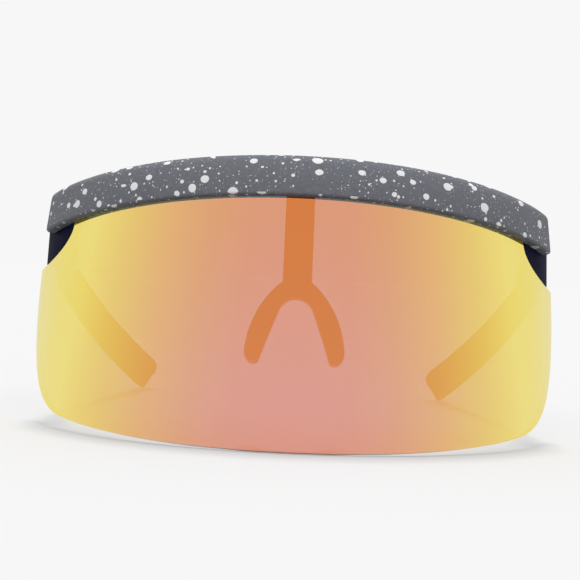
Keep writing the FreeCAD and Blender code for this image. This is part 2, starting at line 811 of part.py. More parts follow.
def temple_section(body, name, side, share, beyond="0", taper="0"):
    # A section of the blade, share 0 where the straight block ends and share 1 where the tip's taper starts
    start = "temple_block_length - temple_front"
    sketch = new_sketch(body, name, "XZ_Plane", f"-({start} + {share} * (tip_line - ({start})) + {beyond})")
    sketch.AttachmentOffset = FreeCAD.Placement(FreeCAD.Vector(), FreeCAD.Rotation(up, 1))
    shift = f"{share} * tip_inset * (1 - tip_bow + tip_bow * {share})"
    bind(sketch, **{
        "AttachmentOffset.Base.x": f"{side} * (temple_face + temple_thickness / 2 - {shift})",
        "AttachmentOffset.Base.y": f"-temple_drop - {share} * tip_drop",
        "AttachmentOffset.Rotation.Angle": f"{side} * {share} * tip_lean",
    })
    half_thickness = f"(temple_thickness + {share} * (tip_thickness - temple_thickness)) / 2"
    half_height = f"(temple_height + {share} * (tip_height - temple_height)) / 2"
    return draw_outline(sketch, rounded_box(f"{half_thickness} * (1 - {taper})",
                                            f"{half_height} - {half_thickness} * {taper}",
                                            f"temple_corner * (1 - {taper})",
                                            f"temple_corner_radius * (1 - {taper})"))


def make_temple(name, side):
    body = new_body(f"{name}_temple")
    block = temple_section(body, f"{name}_temple_block", side, 0)
    pad(body, block, "temple_block_length")
    profile = temple_section(body, f"{name}_temple_root", side, 0)
    stations = [temple_section(body, f"{name}_temple_station_{n}", side, f"{n} / 3") for n in (1, 2, 3)]
    loft(body, f"{name}_temple_blade", profile, stations)
    tip_start = temple_section(body, f"{name}_temple_tip_start", side, 1)
    tip_end = temple_section(body, f"{name}_temple_tip_end", side, 1, "tip_taper_length", "tip_taper")
    loft(body, f"{name}_temple_tip", tip_start, [tip_end])
    rivets = new_sketch(body, f"{name}_temple_rivets", "YZ_Plane", f"{side} * temple_face")
    for y in temple_rivet_lines():
        draw_circle(rivets, y, "-hinge_drop", "rivet_radius + rivet_clearance")
    pocket(body, rivets, "rivet_depth + rivet_clearance", forward=side > 0)
    keep(body, f"{name}_temple")


# Resting pose

def surface_points(names):
    return [point for piece in pieces if piece.Label in names for point in piece.Shape.tessellate(0.02)[0]]


def lowest(points, lean):
    return min(point.z * math.cos(lean) - point.y * math.sin(lean) for point in points)


def resting_placement():
    lens = surface_points(["shield_lens"])
    temples = surface_points(["left_temple", "right_temple"])
    low, high = 0.0, math.radians(60)
    while high - low > 1e-9:
        lean = (low + high) / 2
        if lowest(temples, lean) > lowest(lens, lean):
            low = lean
        else:
            high = lean
    turn = FreeCAD.Rotation(FreeCAD.Vector(1, 0, 0), -math.degrees(lean))
    points = [turn.multVec(point) for point in surface_points([piece.Label for piece in pieces])]
    depth = [point.y for point in points]
    shift = FreeCAD.Vector(0, -(min(depth) + max(depth)) / 2, -min(point.z for point in points))
    return FreeCAD.Placement(shift, turn)


def check_document():
    for item in doc.Objects:
        if "Invalid" in item.State or "Error" in item.State:
            raise RuntimeError(f"{item.Name} failed: {item.State}")
    for piece in pieces:
        if piece.Shape.isNull() or not piece.Shape.isValid():
            raise RuntimeError(f"{piece.Label} has no valid shape")


def make_everything():
    fill_sheet()
    make_bar()
    make_lens()
    make_bridge()
    make_pads()
    make_bridge_screws()
    for name, side in sides.items():
        make_end_piece(name, side)
        make_hinge(name, side)
        make_temple(name, side)
    doc.recompute()
    check_document()
    placement = resting_placement()
    for piece in pieces:
        piece.Placement = placement
    print("lean back", math.degrees(placement.Rotation.Angle))
    for name, side in sides.items():
        pivot = FreeCAD.Vector(side * size("hinge_axis"), -size("hinge_line"), -size("hinge_drop"))
        print(name, "hinge", placement.multVec(pivot), placement.Rotation.multVec(up))


def write_pieces():
    os.makedirs("parts", exist_ok=True)
    for piece in pieces:
        piece.Shape.exportStep(f"parts/{piece.Label}.step")
        print(piece.Label, len(piece.Shape.Solids), round(piece.Shape.Volume, 2))


make_everything()
write_pieces()
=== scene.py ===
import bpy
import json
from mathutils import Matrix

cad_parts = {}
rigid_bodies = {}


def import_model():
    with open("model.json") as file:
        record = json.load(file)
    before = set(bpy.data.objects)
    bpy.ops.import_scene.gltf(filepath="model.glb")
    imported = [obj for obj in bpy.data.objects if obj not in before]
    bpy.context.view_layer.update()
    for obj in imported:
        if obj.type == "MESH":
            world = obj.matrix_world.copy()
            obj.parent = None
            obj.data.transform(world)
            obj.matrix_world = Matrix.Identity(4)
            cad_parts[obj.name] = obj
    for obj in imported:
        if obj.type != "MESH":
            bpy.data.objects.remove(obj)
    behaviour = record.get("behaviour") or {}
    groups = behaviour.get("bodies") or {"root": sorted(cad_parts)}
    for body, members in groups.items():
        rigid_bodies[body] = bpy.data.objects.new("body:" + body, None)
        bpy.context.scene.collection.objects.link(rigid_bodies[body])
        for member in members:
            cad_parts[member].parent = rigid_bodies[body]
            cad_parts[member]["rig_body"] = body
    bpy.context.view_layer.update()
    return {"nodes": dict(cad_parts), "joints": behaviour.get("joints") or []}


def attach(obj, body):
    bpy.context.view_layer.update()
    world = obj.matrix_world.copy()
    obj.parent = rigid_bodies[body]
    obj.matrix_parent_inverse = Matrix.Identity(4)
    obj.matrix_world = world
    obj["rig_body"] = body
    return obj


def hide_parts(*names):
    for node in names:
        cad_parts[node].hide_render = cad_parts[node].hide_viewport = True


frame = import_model()

import json
import math

import bmesh
import bpy
from mathutils import Matrix, Vector

mm = 0.001
metre = 1000   # in mm: a pattern's scale is this over the pattern's size in mm
joints = {joint["name"]: joint for joint in frame["joints"]}
# the front leans back, so its own up and back differ from the floor's
frontUp = Vector(joints["right_temple_fold"]["axis"]).normalized()
frontBack = frontUp.cross(Vector((1, 0, 0)))
hingeMiddle = sum((Vector(joint["pos_m"]) for joint in frame["joints"]), Vector()) / 2
print("frame loaded")


def hexColour(code):
    # sRGB hex to the linear values that shaders take
    channels = [int(code[place:place + 2], 16) / 255 for place in (1, 3, 5)]
    return (*[c / 12.92 if c <= 0.04045 else ((c + 0.055) / 1.055) ** 2.4 for c in channels], 1.0)


def addNode(material, kind, settings=None, links=None):
    # settings go to inputs or properties, links bring other nodes' outputs to inputs
    node = material.node_tree.nodes.new(kind)
    for name, value in (settings or {}).items():
        if isinstance(name, str) and hasattr(node, name):
            setattr(node, name, value)
        else:
            node.inputs[name].default_value = value
    for name, output in (links or {}).items():
        material.node_tree.links.new(output, node.inputs[name])
    return node


def newMaterial(name):
    material = bpy.data.materials.new(name)
    material.use_nodes = True
    material.node_tree.nodes.clear()
    return material


copies = {
    # what merges, what is too short for an edge and how near a cut may pass a point, in mm
    "merge": 0.002, "tooShort": 0.001, "cut": 0.01,
    # edges that turn by more than these degrees are sharp, and are broken in this many steps
    "sharpAngle": 28, "steps": 2,
}


def outwardWay(point, centre):
    # away from an upright axis of the front, square to it
    away = point - centre
    away -= frontUp * away.dot(frontUp)
    return away.normalized()


def cutAcross(mesh, point, way):
    # a row of edges where a plane crosses the mesh
    bmesh.ops.bisect_plane(mesh, geom=mesh.verts[:] + mesh.edges[:] + mesh.faces[:],
                           dist=copies["cut"] * mm, plane_co=point, plane_no=way)


def markSharp(mesh):
    for edge in mesh.edges:
        turn = edge.calc_face_angle(None) if len(edge.link_faces) == 2 else None
        edge.smooth = turn is not None and turn < math.radians(copies["sharpAngle"])
    for face in mesh.faces:
        face.smooth = True


def finishedCopy(node, materials, edgeWidth=0, chooseMaterial=None, addMap=None, reshape=None):
    # a cleaned copy of a CAD node, with its hard edges broken by a width in mm
    source = frame["nodes"][node]
    mesh = bmesh.new()
    mesh.from_mesh(source.data)
    bmesh.ops.remove_doubles(mesh, verts=mesh.verts, dist=copies["merge"] * mm)
    bmesh.ops.dissolve_degenerate(mesh, edges=mesh.edges, dist=copies["tooShort"] * mm)
    if reshape:
        reshape(mesh)
    markSharp(mesh)
    if chooseMaterial:
        for face in mesh.faces:
            face.material_index = chooseMaterial(face)
    if addMap:
        addMap(mesh)
    data = bpy.data.meshes.new(f"{node}_finished")
    mesh.to_mesh(data)
    mesh.free()
    for material in materials:
        data.materials.append(material)
    piece = bpy.data.objects.new(f"{node}_finished", data)
    bpy.context.scene.collection.objects.link(piece)
    if edgeWidth:
        bevel = piece.modifiers.new("broken_edges", "BEVEL")
        bevel.width = edgeWidth * mm
        bevel.segments = copies["steps"]
        bevel.limit_method = "ANGLE"
        bevel.angle_limit = math.radians(copies["sharpAngle"])
    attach(piece, source["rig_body"])
    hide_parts(node)
    return piece


brow = {
    # enamel; spray grain is near 0.2 mm, too fine to show, and is drawn coarser, with its rises
    # painted paler as a painted highlight; sizes in mm
    "grey": "#666870", "greyGrainHighlight": "#808289", "grainSize": 0.9, "grainHeight": 0.05,
    "roughness": 0.58, "ior": 1.5, "shineLevel": 0.3,
    # white drops, raised and glossier, with a soft edge in mm
    "white": "#fbfcfd", "dropRoughness": 0.42, "dropHeight": 0.05, "dropRelief": 0.6,
    "dropEdge": 0.12,
    # how unevenly drops lie, the smallest one's share of the largest one's radius, and how many
    # radii long the waves of an outline are
    "scatter": 0.85, "smallest": 0.55, "waveLength": 2.2,
    # patches of drops: size in mm, the levels of their noise, and the share of drops between them
    "patchSize": 18.0, "patchFrom": 0.42, "patchTo": 0.6, "betweenShare": 0.25,
    # each layer of drops: spacing and largest radius in mm, share of the places that hold one,
    # how far the outline wanders in mm, how many times longer than wide, the turn of that length
    # in degrees, and whether they gather in patches
    "drops": [
        (9.0, 1.6, 0.6, 0.3, 1.15, 62, False),
        (7.0, 1.15, 0.5, 0.3, 1.2, -48, False),
        (8.0, 0.7, 0.36, 0.5, 2.2, 38, False),
        (4.4, 0.62, 0.44, 0.15, 1.1, 20, False),
        (2.6, 0.38, 0.34, 0.08, 1.0, 0, False),
        (1.6, 0.24, 0.34, 0.0, 1.0, 0, True),
        (1.0, 0.16, 0.36, 0.0, 1.0, 0, True),
    ],
    # the front swells by a radius about a level above the underside, down to a depth behind the
    # front, and less and less towards its reach at the ends, by a power; sizes in mm
    "crownRadius": 18.0, "crownLevel": 5.0, "crownRows": 8, "crownDepth": 2.3,
    "crownReach": 84.0, "crownFade": 4,
    # where the bar's bend is centred and its radius, in mm
    "bendCentre": (0.0, 2.289, 46.214), "bendRadius": 85.2,
    # faces turned in by more than this are the back in the map, and down by more the underside
    "backFacing": 0.5, "downFacing": 0.3,
}
bendCentre = Vector(brow["bendCentre"]) * mm


def browSpot(vert):
    # how far along the bend a point is, how high above the underside and how deep behind the front
    away = vert.co - bendCentre
    forward, across = -away.dot(frontBack), away.x
    radius = brow["bendRadius"] * mm
    along = radius * math.atan2(across, forward)
    return along, away.dot(frontUp), radius - math.hypot(across, forward)


def crownFront(mesh):
    # rows of edges along the front, drawn in towards the bar's long edges
    tall = max(browSpot(vert)[1] for vert in mesh.verts)
    for row in range(1, brow["crownRows"]):
        cutAcross(mesh, bendCentre + frontUp * tall * row / brow["crownRows"], frontUp)
    for vert in mesh.verts:
        along, height, depth = browSpot(vert)
        share = min(max(1 - depth / (brow["crownDepth"] * mm), 0), 1)
        share *= max(1 - (along / (brow["crownReach"] * mm)) ** brow["crownFade"], 0)
        fall = (height - brow["crownLevel"] * mm) ** 2 / (2 * brow["crownRadius"] * mm)
        vert.co -= outwardWay(vert.co, bendCentre) * fall * share


def wrapMap(mesh):
    # a map in metres that runs along the bend, and up the front, over the top and down the back
    layer = mesh.loops.layers.uv.new("wrap")
    tall = max(browSpot(vert)[1] for vert in mesh.verts)
    for face in mesh.faces:
        outward = face.normal.dot(outwardWay(face.calc_center_median(), bendCentre))
        upward = face.normal.dot(frontUp)
        for loop in face.loops:
            along, height, depth = browSpot(loop.vert)
            if outward < -brow["backFacing"]:
                across = 2 * tall + depth - height
            elif upward < -brow["downFacing"]:
                across = height - depth
            else:
                across = height + depth
            loop[layer].uv = (along, across)


def dropLayer(material, coords, patches, spacing, radius, share, wander, stretch, turn, patchy):
    # drops on a cell pattern: each cell's own random colour says if it holds one and how large
    lay = addNode(material, "ShaderNodeMapping",
                  {"Rotation": (0, 0, math.radians(turn)), "Scale": (1 / stretch, 1, 1),
                   "Location": (spacing * mm, radius * mm, 0)}, {"Vector": coords})
    warp = addNode(material, "ShaderNodeTexNoise",
                   {"noise_dimensions": "2D", "Scale": metre / (radius * brow["waveLength"]),
                    "Detail": 1.0}, {"Vector": lay.outputs["Vector"]})
    push = addNode(material, "ShaderNodeVectorMath",
                   {"operation": "MULTIPLY_ADD", 1: (wander * mm, wander * mm, 0)},
                   {0: warp.outputs["Color"], 2: lay.outputs["Vector"]})
    cells = addNode(material, "ShaderNodeTexVoronoi",
                    {"voronoi_dimensions": "2D", "Scale": metre / spacing,
                     "Randomness": brow["scatter"]}, {"Vector": push.outputs["Vector"]})
    chance = addNode(material, "ShaderNodeSeparateColor", {}, {"Color": cells.outputs["Color"]})
    size = addNode(material, "ShaderNodeMapRange",
                   {"From Max": share, "To Min": radius / spacing,
                    "To Max": brow["smallest"] * radius / spacing},
                   {"Value": chance.outputs["Red"]})
    held = addNode(material, "ShaderNodeMath", {"operation": "LESS_THAN", 1: share},
                   {0: chance.outputs["Red"]})
    if patchy:
        crowd = addNode(material, "ShaderNodeMath", {"operation": "MULTIPLY", 1: share},
                        {0: patches})
        material.node_tree.links.new(crowd.outputs[0], held.inputs[1])
    inside = addNode(material, "ShaderNodeMath", {"operation": "SUBTRACT"},
                     {0: size.outputs["Result"], 1: cells.outputs["Distance"]})
    edge = addNode(material, "ShaderNodeMapRange", {"From Max": brow["dropEdge"] / spacing},
                   {"Value": inside.outputs[0]})
    return addNode(material, "ShaderNodeMath", {"operation": "MULTIPLY"},
                   {0: edge.outputs["Result"], 1: held.outputs[0]}).outputs[0]


def splatterPaint():
    # grey enamel sprayed on nylon: matte and grainy, under thick, glossier white drops
    material = newMaterial("grey_enamel_white_splatter")
    coords = addNode(material, "ShaderNodeTexCoord").outputs["Object"]
    wrap = addNode(material, "ShaderNodeUVMap", {"uv_map": "wrap"}).outputs["UV"]
    clouds = addNode(material, "ShaderNodeTexNoise",
                     {"Scale": metre / brow["patchSize"], "Detail": 3.0}, {"Vector": coords})
    patches = addNode(material, "ShaderNodeMapRange",
                      {"From Min": brow["patchFrom"], "From Max": brow["patchTo"],
                       "To Min": brow["betweenShare"]},
                      {"Value": clouds.outputs["Fac"]}).outputs["Result"]
    drops = None
    for layerSizes in brow["drops"]:
        layer = dropLayer(material, wrap, patches, *layerSizes)
        if drops is None:
            drops = layer
        else:
            drops = addNode(material, "ShaderNodeMath", {"operation": "MAXIMUM"},
                            {0: drops, 1: layer}).outputs[0]
    grain = addNode(material, "ShaderNodeTexNoise",
                    {"Scale": metre / brow["grainSize"], "Detail": 2.0}, {"Vector": coords})
    # painted highlight: the grain's rises are painted a paler grey, in step with its bump
    grey = addNode(material, "ShaderNodeMix",
                   {"data_type": "RGBA", 6: hexColour(brow["grey"]),
                    7: hexColour(brow["greyGrainHighlight"])}, {0: grain.outputs["Fac"]})
    paint = addNode(material, "ShaderNodeMix",
                    {"data_type": "RGBA", 7: hexColour(brow["white"])},
                    {0: drops, 6: grey.outputs[2]})
    shine = addNode(material, "ShaderNodeMapRange",
                    {"To Min": brow["roughness"], "To Max": brow["dropRoughness"]},
                    {"Value": drops})
    grainBump = addNode(material, "ShaderNodeBump",
                        {"Strength": 1.0, "Distance": brow["grainHeight"] * mm},
                        {"Height": grain.outputs["Fac"]})
    dropBump = addNode(material, "ShaderNodeBump",
                       {"Strength": brow["dropRelief"], "Distance": brow["dropHeight"] * mm},
                       {"Height": drops, "Normal": grainBump.outputs["Normal"]})
    shader = addNode(material, "ShaderNodeBsdfPrincipled",
                     {"IOR": brow["ior"], "Specular IOR Level": brow["shineLevel"]},
                     {"Base Color": paint.outputs[2], "Roughness": shine.outputs["Result"],
                      "Normal": dropBump.outputs["Normal"]})
    addNode(material, "ShaderNodeOutputMaterial", {}, {"Surface": shader.outputs["BSDF"]})
    return material


shield = {
    # the colours change from the middle to the sides, by shares of this reach in mm, and start
    # sooner higher up, from a low level to a high one in mm
    "reach": 70.0, "lowLevel": 10.0, "highLevel": 62.0, "lowSpread": 0.88,
    # what the coat mirrors, what it passes and the share that it mirrors, from middle to side
    # painted reflection: the mirror colour's yellowing to the sides stands in for the coat's colour
    # shift at slanting view
    "mirror": [(0.0, "#fd9652"), (0.2, "#fd9853"), (0.36, "#fda557"), (0.52, "#fdb85c"),
               (0.68, "#fdd063"), (0.84, "#fde672"), (0.95, "#fdea77")],
    "passed": [(0.0, "#83c4d8"), (0.2, "#83c2d4"), (0.36, "#7fc1c9"), (0.52, "#8bc3cd"),
               (0.68, "#73c4c9"), (0.84, "#79bcd4"), (0.95, "#38669a")],
    "mirrorShare": [(0.0, 0.734), (0.2, 0.734), (0.36, 0.75), (0.52, 0.789), (0.68, 0.842),
                    (0.84, 0.9), (1.0, 0.89)],
    # what is added to both low down, in full up to the first share of the reach, none past the
    # last: painted light, a bluer, brighter foot that stands in for the bright floor seen through
    # the lens
    "lowMirrorPaintedLight": "#00262c", "lowPassedPaintedLight": "#0000a0", "lowFull": 0.3, "lowNone": 0.95,
    "roughness": 0.05, "film": "#f3f1ef", "filmGloss": 0.04,
    # painted shade: the rim darkens to olive towards the sides, standing in for the shade along the
    # edge beside the end pieces
    "rimMiddle": "#d6703f", "rimSideShade": "#4a4212", "rimRoughness": 0.2, "rimIor": 1.58,
    # faces turned out or in by more than this are the front or the back, and the rest the rim
    "facing": 0.5,
}
lensLevels = {"From Min": shield["lowLevel"] * mm, "From Max": shield["highLevel"] * mm}


def lensSide(face):
    # 0 is the coated front, 1 the back and 2 the rim
    outward = face.normal.dot(outwardWay(face.calc_center_median(), hingeMiddle))
    return 0 if outward > shield["facing"] else 1 if outward < -shield["facing"] else 2


def lensPlace(material, axes):
    # 0 at the middle of the lens and 1 at its reach to either side
    away = addNode(material, "ShaderNodeMath", {"operation": "ABSOLUTE"}, {0: axes["X"]})
    share = addNode(material, "ShaderNodeMath",
                    {"operation": "DIVIDE", 1: shield["reach"] * mm}, {0: away.outputs[0]})
    spread = addNode(material, "ShaderNodeMapRange",
                     {**lensLevels, "To Min": shield["lowSpread"]}, {"Value": axes["Z"]})
    return addNode(material, "ShaderNodeMath", {"operation": "MULTIPLY"},
                   {0: share.outputs[0], 1: spread.outputs["Result"]}).outputs[0]


def lensLowPaintedLight(material, axes, place):
    # 1 at the foot of the lens's middle part, fading upwards and to the sides; the mask of the
    # painted light at the foot
    low = addNode(material, "ShaderNodeMapRange", {**lensLevels, "To Min": 1.0, "To Max": 0.0},
                  {"Value": axes["Z"]})
    inner = addNode(material, "ShaderNodeMapRange",
                    {"From Min": shield["lowFull"], "From Max": shield["lowNone"],
                     "To Min": 1.0, "To Max": 0.0}, {"Value": place})
    return addNode(material, "ShaderNodeMath", {"operation": "MULTIPLY"},
                   {0: low.outputs["Result"], 1: inner.outputs["Result"]}).outputs[0]


def mirrorCoat():
    # vacuum-coated polycarbonate: an orange-gold mirror that turns yellow to the sides, and lets
    # some blue light through; the yellowing is partly a painted reflection colour, standing in for
    # the coat's shift to yellow where it is seen slanting
    material = newMaterial("gold_mirror_coated_polycarbonate")
    coords = addNode(material, "ShaderNodeTexCoord").outputs["Object"]
    axes = addNode(material, "ShaderNodeSeparateXYZ", {}, {"Vector": coords}).outputs
    place = lensPlace(material, axes)
    low = lensLowPaintedLight(material, axes, place)
    tints = {}
    for name, lowName in (("mirror", "lowMirrorPaintedLight"), ("passed", "lowPassedPaintedLight")):
        ramp = addNode(material, "ShaderNodeValToRGB", {}, {"Fac": place})
        stops = ramp.color_ramp.elements
        while len(stops) < len(shield[name]):
            stops.new(1.0)
        for stop, (spot, code) in zip(stops, shield[name]):
            stop.position = spot
            stop.color = hexColour(code)
        tints[name] = addNode(material, "ShaderNodeMix",
                              {"data_type": "RGBA", "blend_type": "ADD",
                               7: hexColour(shield[lowName])},
                              {0: low, 6: ramp.outputs["Color"]}).outputs[2]
    share = addNode(material, "ShaderNodeFloatCurve", {}, {"Value": place})
    curve = share.mapping.curves[0]
    for spot, value in shield["mirrorShare"][1:-1]:
        curve.points.new(spot, value)
    curve.points[0].location = shield["mirrorShare"][0]
    curve.points[-1].location = shield["mirrorShare"][-1]
    share.mapping.update()
    metal = addNode(material, "ShaderNodeBsdfPrincipled",
                    {"Metallic": 1.0, "Roughness": shield["roughness"]},
                    {"Base Color": tints["mirror"]})
    clear = addNode(material, "ShaderNodeBsdfTransparent", {}, {"Color": tints["passed"]})
    both = addNode(material, "ShaderNodeMixShader", {},
                   {0: share.outputs["Value"], 1: clear.outputs["BSDF"], 2: metal.outputs["BSDF"]})
    addNode(material, "ShaderNodeOutputMaterial", {}, {"Surface": both.outputs["Shader"]})
    return material


def lensFilm():
    # the uncoated back of the lens: polished polycarbonate with a trace of smoke, so it hardly
    # darkens what is behind it and has a faint gloss
    material = newMaterial("smoke_polycarbonate_back")
    clear = addNode(material, "ShaderNodeBsdfTransparent", {"Color": hexColour(shield["film"])})
    shine = addNode(material, "ShaderNodeBsdfGlossy", {"Roughness": shield["roughness"]})
    both = addNode(material, "ShaderNodeMixShader", {0: shield["filmGloss"]},
                   {1: clear.outputs["BSDF"], 2: shine.outputs["BSDF"]})
    addNode(material, "ShaderNodeOutputMaterial", {}, {"Surface": both.outputs["Shader"]})
    return material


def lensRim():
    # the cut and polished edge, which gathers the tint of the whole sheet in the middle, and
    # darkens to a painted shade towards the sides
    material = newMaterial("tinted_polycarbonate_edge")
    coords = addNode(material, "ShaderNodeTexCoord").outputs["Object"]
    axes = addNode(material, "ShaderNodeSeparateXYZ", {}, {"Vector": coords}).outputs
    tint = addNode(material, "ShaderNodeMix",
                   {"data_type": "RGBA", 6: hexColour(shield["rimMiddle"]),
                    7: hexColour(shield["rimSideShade"])}, {0: lensPlace(material, axes)})
    shader = addNode(material, "ShaderNodeBsdfPrincipled",
                     {"Roughness": shield["rimRoughness"], "IOR": shield["rimIor"]},
                     {"Base Color": tint.outputs[2]})
    addNode(material, "ShaderNodeOutputMaterial", {}, {"Surface": shader.outputs["BSDF"]})
    return material


nylons = {
    # mould grain is near 0.1 mm, too fine to show, and is drawn coarser; sizes in mm
    "grainSize": 0.8, "grainHeight": 0.03, "grainRelief": 0.5, "mottleSize": 4, "ior": 1.53,
    # how much smoother and rougher the grain makes it
    "smoother": 0.06, "rougher": 0.08,
    # the navy holds painted shade of the recess behind the lens corners, and its paler mottle
    # painted glints
    "shadedNavy": {"colour": "#0b0b1a", "paleMottleAndGlint": "#222240", "roughness": 0.32, "shineLevel": 0.004},
    "black": {"colour": "#17171a", "paleMottleAndGlint": "#202024", "roughness": 0.42, "shineLevel": 0.4},
}


def mouldedNylon(shade):
    # injection-moulded nylon: a faintly mottled colour and the spark-eroded grain of the mould,
    # with next to no shine on the navy and a soft one on the black; the navy is darker than its own
    # tone by painted shade, and its paler mottle is painted glints
    look = nylons[shade]
    material = newMaterial(f"{shade}_moulded_nylon")
    coords = addNode(material, "ShaderNodeTexCoord").outputs["Object"]
    clouds = addNode(material, "ShaderNodeTexNoise",
                     {"Scale": metre / nylons["mottleSize"], "Detail": 4.0}, {"Vector": coords})
    tone = addNode(material, "ShaderNodeMix",
                   {"data_type": "RGBA", 6: hexColour(look["colour"]),
                    7: hexColour(look["paleMottleAndGlint"])}, {0: clouds.outputs["Fac"]})
    pits = addNode(material, "ShaderNodeTexNoise",
                   {"Scale": metre / nylons["grainSize"], "Detail": 2.0}, {"Vector": coords})
    shine = addNode(material, "ShaderNodeMapRange",
                    {"To Min": look["roughness"] - nylons["smoother"],
                     "To Max": look["roughness"] + nylons["rougher"]},
                    {"Value": pits.outputs["Fac"]})
    bump = addNode(material, "ShaderNodeBump",
                   {"Strength": nylons["grainRelief"], "Distance": nylons["grainHeight"] * mm},
                   {"Height": pits.outputs["Fac"]})
    shader = addNode(material, "ShaderNodeBsdfPrincipled",
                     {"IOR": nylons["ior"], "Specular IOR Level": look["shineLevel"]},
                     {"Base Color": tone.outputs[2], "Roughness": shine.outputs["Result"],
                      "Normal": bump.outputs["Normal"]})
    addNode(material, "ShaderNodeOutputMaterial", {}, {"Surface": shader.outputs["BSDF"]})
    return material


arms = {
    # corner radii of the ends in mm, and the rows of edges that bend to them; the first row is
    # left out, as it would crowd the broken edge of the end
    "topRound": 4.4, "bottomRound": 2.2, "rows": 10, "firstRow": 2, "merge": 0.03,
}


def roundTip(mesh):
    # both corners of a temple's end, rounded in side view, the upper one more
    topRound, bottomRound = arms["topRound"] * mm, arms["bottomRound"] * mm
    end = max(vert.co.dot(frontBack) for vert in mesh.verts)
    for row in range(arms["firstRow"], arms["rows"] + 1):
        inset = topRound * (1 - math.cos(math.pi / 2 * row / arms["rows"]))
        cutAcross(mesh, frontBack * (end - inset), frontBack)
    levels = [vert.co.dot(frontUp) for vert in mesh.verts
              if end - vert.co.dot(frontBack) < topRound]
    middle, half = (max(levels) + min(levels)) / 2, (max(levels) - min(levels)) / 2
    for vert in mesh.verts:
        height = vert.co.dot(frontUp) - middle
        radius = topRound if height > 0 else bottomRound
        away = radius - (end - vert.co.dot(frontBack))
        if away > 0:
            fall = radius - math.sqrt(radius ** 2 - away ** 2)
            vert.co -= frontUp * height * fall / half
    bmesh.ops.remove_doubles(mesh, verts=mesh.verts, dist=arms["merge"] * mm)


softPads = {
    "black": "#1d1d1f", "dusty": "#2b2b2d", "dustSize": 3, "roughness": 0.72, "ior": 1.42,
    "sheen": 0.15,
    # the skin's cells in mm, how strongly and how often it is smoothed, and how full the pad is
    "voxel": 0.22, "rounding": 1.6, "passes": 5, "fill": 0.9,
}


def softSilicone():
    # moulded silicone rubber: dull, slightly dusty black
    material = newMaterial("black_silicone_rubber")
    coords = addNode(material, "ShaderNodeTexCoord").outputs["Object"]
    dust = addNode(material, "ShaderNodeTexNoise",
                   {"Scale": metre / softPads["dustSize"], "Detail": 4.0}, {"Vector": coords})
    tone = addNode(material, "ShaderNodeMix",
                   {"data_type": "RGBA", 6: hexColour(softPads["black"]),
                    7: hexColour(softPads["dusty"])}, {0: dust.outputs["Fac"]})
    shader = addNode(material, "ShaderNodeBsdfPrincipled",
                     {"Roughness": softPads["roughness"], "IOR": softPads["ior"],
                      "Sheen Weight": softPads["sheen"]}, {"Base Color": tone.outputs[2]})
    addNode(material, "ShaderNodeOutputMaterial", {}, {"Surface": shader.outputs["BSDF"]})
    return material


def softPad(node, material):
    # a pad of solid silicone: its edges round over and its faces swell a little between them
    piece = finishedCopy(node, [material])
    remesh = piece.modifiers.new("even_skin", "REMESH")
    remesh.mode = "VOXEL"
    remesh.voxel_size = softPads["voxel"] * mm
    remesh.use_smooth_shade = True
    swell = piece.modifiers.new("soft_edges", "LAPLACIANSMOOTH")
    swell.lambda_factor = softPads["rounding"]
    swell.iterations = softPads["passes"]
    swell.use_volume_preserve = True


steels = {
    # lines are near 0.05 mm, too fine to show, and are drawn coarser; sizes in mm
    "lineWidth": 0.45, "lineHeight": 0.01, "lineRelief": 0.2, "lineSquash": 0.08,
    # how much smoother and rougher the lines make it
    "smoother": 0.1, "rougher": 0.12,
    "stamped": {"colour": "#b9bbbd", "roughness": 0.34},
    "turned": {"colour": "#c6c7c8", "roughness": 0.26},
}


def brushedSteel(make):
    # stainless steel with fine lines along the strip, which spread its shine
    look = steels[make]
    material = newMaterial(f"{make}_stainless_steel")
    coords = addNode(material, "ShaderNodeTexCoord").outputs["Object"]
    stretch = addNode(material, "ShaderNodeMapping",
                      {"Scale": (1.0, steels["lineSquash"], 1.0)}, {"Vector": coords})
    lines = addNode(material, "ShaderNodeTexNoise",
                    {"Scale": metre / steels["lineWidth"], "Detail": 3.0},
                    {"Vector": stretch.outputs["Vector"]})
    shine = addNode(material, "ShaderNodeMapRange",
                    {"To Min": look["roughness"] - steels["smoother"],
                     "To Max": look["roughness"] + steels["rougher"]},
                    {"Value": lines.outputs["Fac"]})
    bump = addNode(material, "ShaderNodeBump",
                   {"Strength": steels["lineRelief"], "Distance": steels["lineHeight"] * mm},
                   {"Height": lines.outputs["Fac"]})
    shader = addNode(material, "ShaderNodeBsdfPrincipled",
                     {"Base Color": hexColour(look["colour"]), "Metallic": 1.0},
                     {"Roughness": shine.outputs["Result"], "Normal": bump.outputs["Normal"]})
    addNode(material, "ShaderNodeOutputMaterial", {}, {"Surface": shader.outputs["BSDF"]})
    return material


# finish of each other piece, and the width of its broken edges in mm
middlePieces = {"nose_bridge": ("black", 0.35), "nose_bridge_screws": ("turned", 0.08)}
sidePieces = {
    "end_piece": ("shadedNavy", 0.2), "temple": ("shadedNavy", 0.15),
    "front_hinge_leaf": ("stamped", 0.08), "temple_hinge_leaf": ("stamped", 0.08),
    "front_leaf_rivets": ("turned", 0.1), "temple_leaf_rivets": ("turned", 0.1),
    "hinge_screw": ("turned", 0.08),
}


